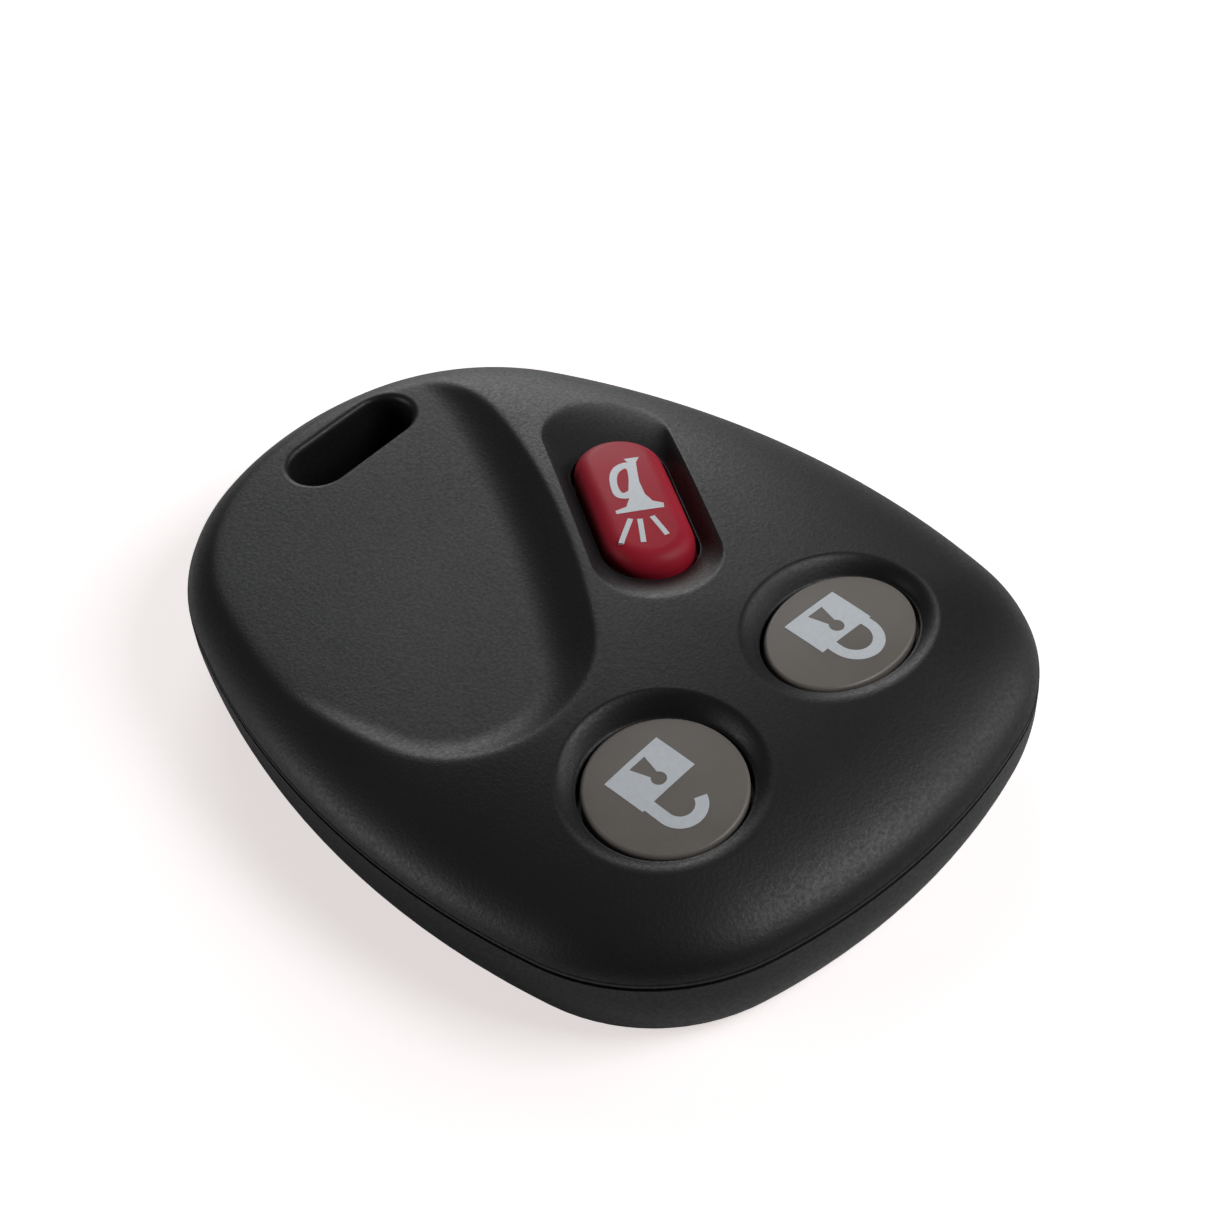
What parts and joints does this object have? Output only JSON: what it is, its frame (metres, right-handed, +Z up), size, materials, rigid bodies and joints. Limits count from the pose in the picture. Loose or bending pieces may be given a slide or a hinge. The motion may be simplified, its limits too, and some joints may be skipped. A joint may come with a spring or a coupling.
{
  "type": "car key fob",
  "caption": "Rounded remote key fob with a thumb dish, oval lock and round unlock buttons, a red oblong panic button and a key-ring slot; the case opens on its circuit board and coin cell.",
  "frame": {"origin": "centre of the underside, at the bottom centre of the bounding box", "axes": "+Y along the fob towards the narrow end with the key-ring slot, +X towards the lock button's side, +Z up through the buttons"},
  "size_m": [0.045, 0.058, 0.0124],
  "materials": {
    "case": "charcoal black moulded plastic with a fine grain",
    "grey_cap": "warm grey satin plastic",
    "red_cap": "deep red satin plastic",
    "mark": "pale grey ink",
    "keypad_rubber": "soft dark silicone rubber",
    "board": "green solder mask on glass-filled board",
    "copper": "plated copper",
    "black_moulding": "black moulded component body",
    "switch_plunger": "cream plastic",
    "bright_metal": "nickel-plated steel",
    "cell_steel": "bright stainless steel",
    "chip_ceramic": "tan ceramic with tinned ends",
    "gasket": "dark sealing ring"
  },
  "bodies": {
    "base": {"bottom_cover": "case", "circuit_board": "board", "antenna_loop": "copper", "switch_bases": "black_moulding", "switch_frames": "bright_metal", "controller_chip": "black_moulding", "transmitter_chip": "black_moulding", "resonator_can": "bright_metal", "timing_crystal": "bright_metal", "tuning_coil": "black_moulding", "chip_resistors": "black_moulding", "chip_capacitors": "chip_ceramic", "battery_can": "cell_steel", "battery_gasket": "gasket", "battery_cap": "cell_steel", "battery_electrodes": "black_moulding", "battery_positive_clip": "bright_metal", "battery_negative_contact": "bright_metal"},
    "top_half": {"top_cover": "case", "silicone_keypad": "keypad_rubber"},
    "lock_cap": {"lock_button": "grey_cap", "lock_symbol": "mark"},
    "unlock_cap": {"unlock_button": "grey_cap", "unlock_symbol": "mark"},
    "panic_cap": {"panic_button": "red_cap", "panic_symbol": "mark"},
    "lock_plunger": {"lock_switch_plunger": "switch_plunger"},
    "unlock_plunger": {"unlock_switch_plunger": "switch_plunger"},
    "panic_plunger": {"panic_switch_plunger": "switch_plunger"}
  },
  "joints": [
    {"name": "cover_lift", "type": "slide", "parent": "base", "child": "top_half", "axis": [0, 0, 1], "range_m": [0, 0.02]},
    {"name": "lock_press", "type": "slide", "parent": "top_half", "child": "lock_cap", "axis": [0, 0, -1], "range_m": [0, 0.0005], "stiffness_N_per_m": 4000, "deforming": ["silicone_keypad"]},
    {"name": "unlock_press", "type": "slide", "parent": "top_half", "child": "unlock_cap", "axis": [0, 0, -1], "range_m": [0, 0.0005], "stiffness_N_per_m": 4000, "deforming": ["silicone_keypad"]},
    {"name": "panic_press", "type": "slide", "parent": "top_half", "child": "panic_cap", "axis": [0, 0, -1], "range_m": [0, 0.0005], "stiffness_N_per_m": 4000, "deforming": ["silicone_keypad"]},
    {"name": "lock_switch", "type": "slide", "parent": "base", "child": "lock_plunger", "axis": [0, 0, -1], "range_m": [0, 0.00025]},
    {"name": "unlock_switch", "type": "slide", "parent": "base", "child": "unlock_plunger", "axis": [0, 0, -1], "range_m": [0, 0.00025]},
    {"name": "panic_switch", "type": "slide", "parent": "base", "child": "panic_plunger", "axis": [0, 0, -1], "range_m": [0, 0.00025]}
  ],
  "couplings": [
    {"joint": "lock_switch", "follows": "lock_press", "ratio": 0.5},
    {"joint": "unlock_switch", "follows": "unlock_press", "ratio": 0.5},
    {"joint": "panic_switch", "follows": "panic_press", "ratio": 0.5}
  ]
}
